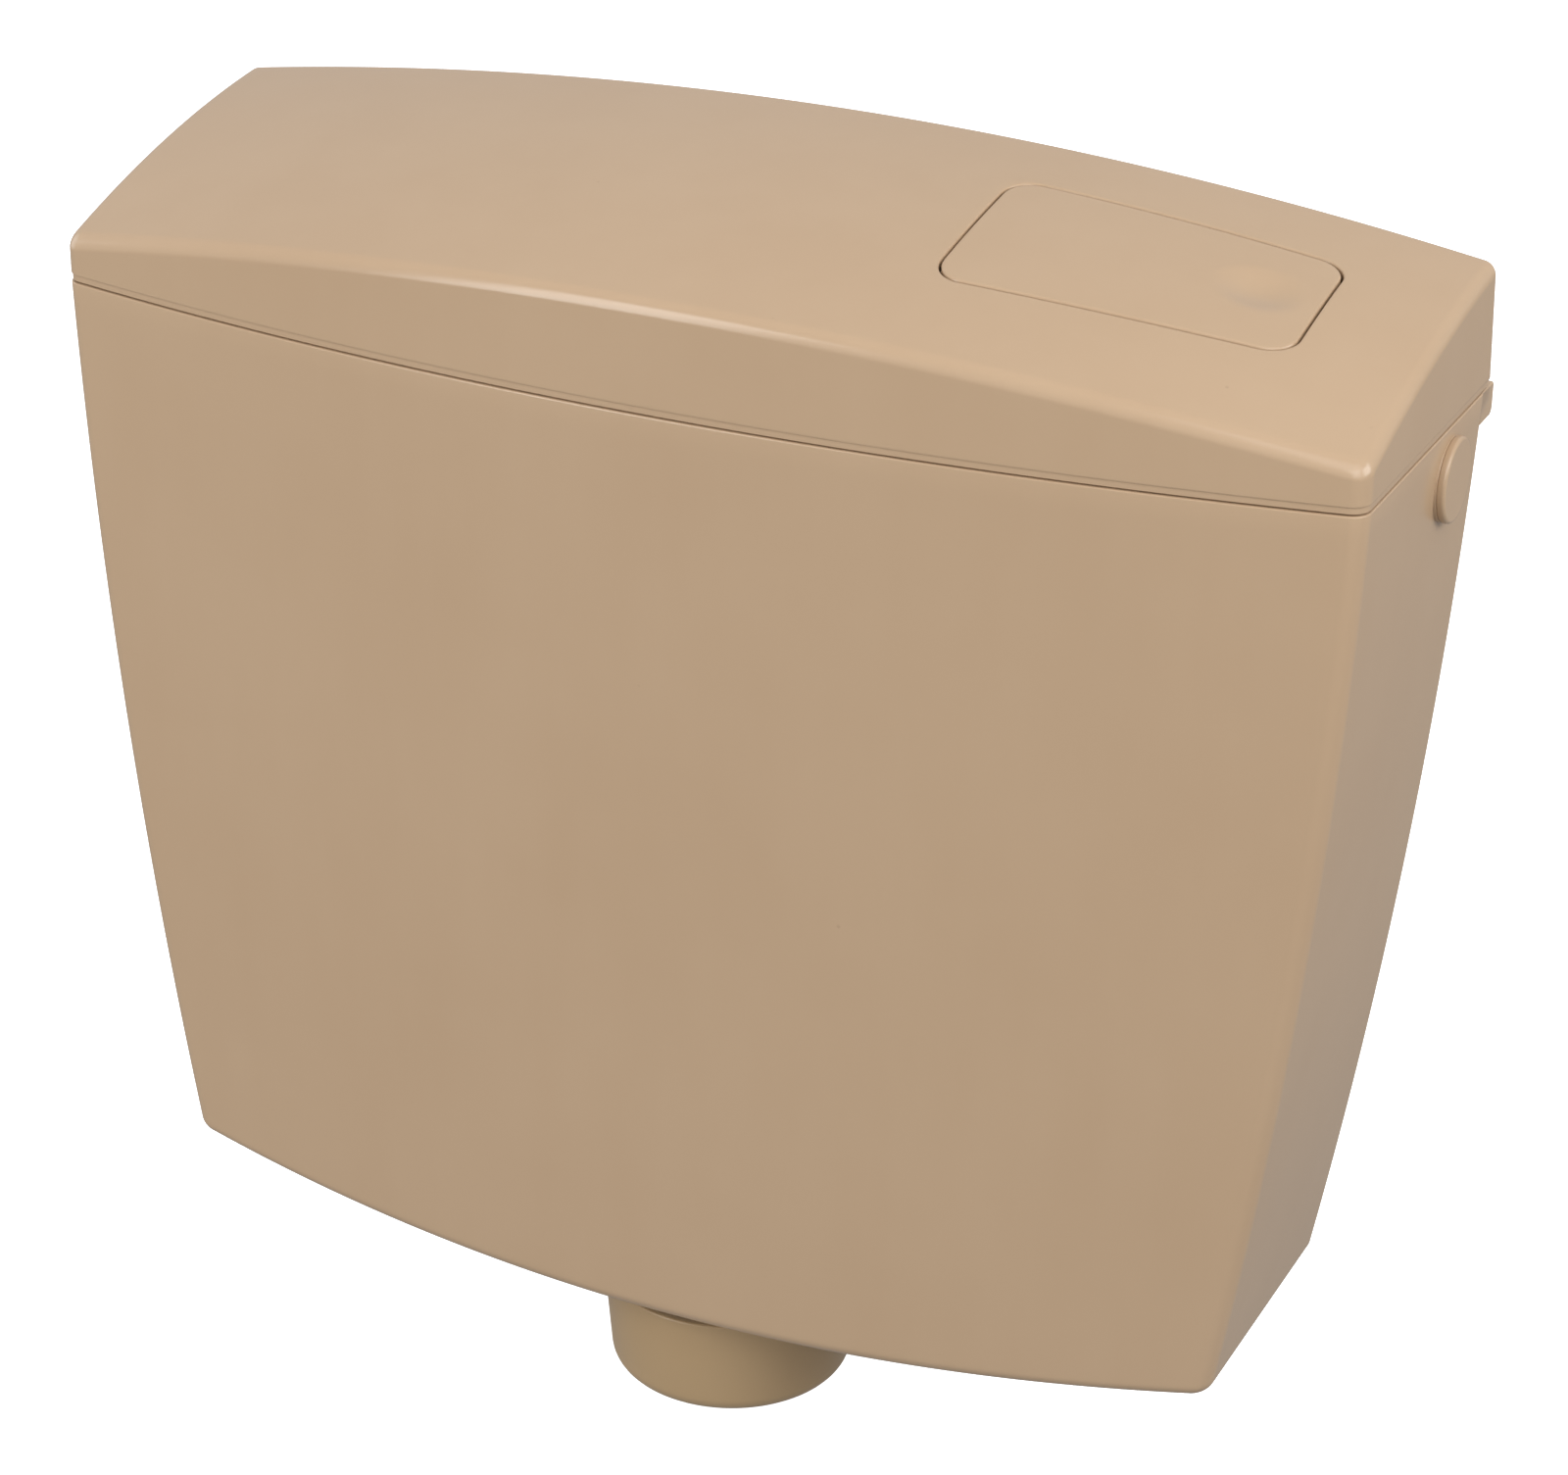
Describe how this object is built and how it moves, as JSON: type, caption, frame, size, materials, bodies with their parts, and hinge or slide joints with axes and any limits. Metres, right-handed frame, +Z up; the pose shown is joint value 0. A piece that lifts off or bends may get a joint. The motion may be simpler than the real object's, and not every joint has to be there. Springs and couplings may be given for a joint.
{
  "type": "toilet cistern",
  "caption": "Wall-hung toilet cistern with a bowed tank, an arched lid, a rocking flush plate, a lifting flush valve, a float-operated filling valve and a union nut for the flush pipe.",
  "frame": {"origin": "on the wall plane, midway between the two wall fixing holes", "axes": "+X to the right seen from the front, +Y back into the wall, +Z up"},
  "size_m": [0.4668, 0.1475, 0.4293],
  "materials": {
    "shell": "glossy moulded beige",
    "lid": "glossy moulded beige",
    "plate": "glossy moulded beige",
    "cap": "glossy moulded beige",
    "nut": "satin moulded beige",
    "foam": "moulded bead foam",
    "white_plastic": "satin white",
    "grey_plastic": "satin grey",
    "rubber": "matte black",
    "steel": "drawn stainless",
    "brass": "turned brass"
  },
  "bodies": {
    "tank": {"tank": "shell", "insulation_liner": "foam", "wall_spacers": "grey_plastic", "wall_buffers": "rubber", "outlet_spigot": "white_plastic", "outlet_gasket": "rubber", "outlet_lock_nut": "white_plastic", "flush_pipe_seal": "rubber", "union_nut": "nut", "valve_cage": "grey_plastic", "lever_bridge": "grey_plastic", "lever_pin": "steel", "fill_valve_body": "white_plastic", "inlet_washer": "rubber", "inlet_lock_nut": "white_plastic", "inlet_strainer": "grey_plastic", "fill_nozzle": "brass", "float_arm_pin": "steel", "fill_downpipe": "grey_plastic", "blanking_cap": "cap", "blanking_washer": "rubber", "blanking_nut": "white_plastic"},
    "lid": {"lid": "lid", "plate_hinge_pin": "steel"},
    "flush_plate": {"flush_plate": "plate"},
    "lift_lever": {"lift_lever": "grey_plastic"},
    "flush_valve": {"overflow_tube": "white_plastic", "valve_seal": "rubber", "seal_retainer": "white_plastic", "closing_float": "foam", "lift_yoke": "grey_plastic"},
    "plunger": {"plunger": "white_plastic", "plunger_seal": "rubber"},
    "float_arm": {"float_arm": "grey_plastic", "float_rod": "steel", "rod_nut": "white_plastic", "float": "foam"}
  },
  "joints": [
    {"name": "lid_lift", "type": "slide", "parent": "tank", "child": "lid", "axis": [0, 0, 1], "range_m": [0, 0.2]},
    {"name": "plate_press", "type": "hinge", "parent": "lid", "child": "flush_plate", "pos_m": [0.081, -0.0725, 0.074], "axis": [0, 1, 0], "range_deg": [0, 6]},
    {"name": "lever_tilt", "type": "hinge", "parent": "tank", "child": "lift_lever", "pos_m": [0.1, -0.0805, 0.028], "axis": [0, 1, 0], "range_deg": [0, 8.05]},
    {"name": "valve_lift", "type": "slide", "parent": "tank", "child": "flush_valve", "axis": [0, 0, 1], "range_m": [0, 0.0143]},
    {"name": "float_arm_swing", "type": "hinge", "parent": "tank", "child": "float_arm", "pos_m": [-0.13197, -0.0425, 0.0055], "axis": [0, -1, 0], "range_deg": [0, 20]},
    {"name": "plunger_slide", "type": "slide", "parent": "tank", "child": "plunger", "axis": [-1, 0, 0], "range_m": [0, 0.00595]}
  ],
  "couplings": [
    {"joint": "lever_tilt", "follows": "plate_press", "ratio": 1.34},
    {"joint": "valve_lift", "follows": "plate_press", "m_per_rad": 0.1365},
    {"joint": "plunger_slide", "follows": "float_arm_swing", "m_per_rad": 0.017}
  ]
}
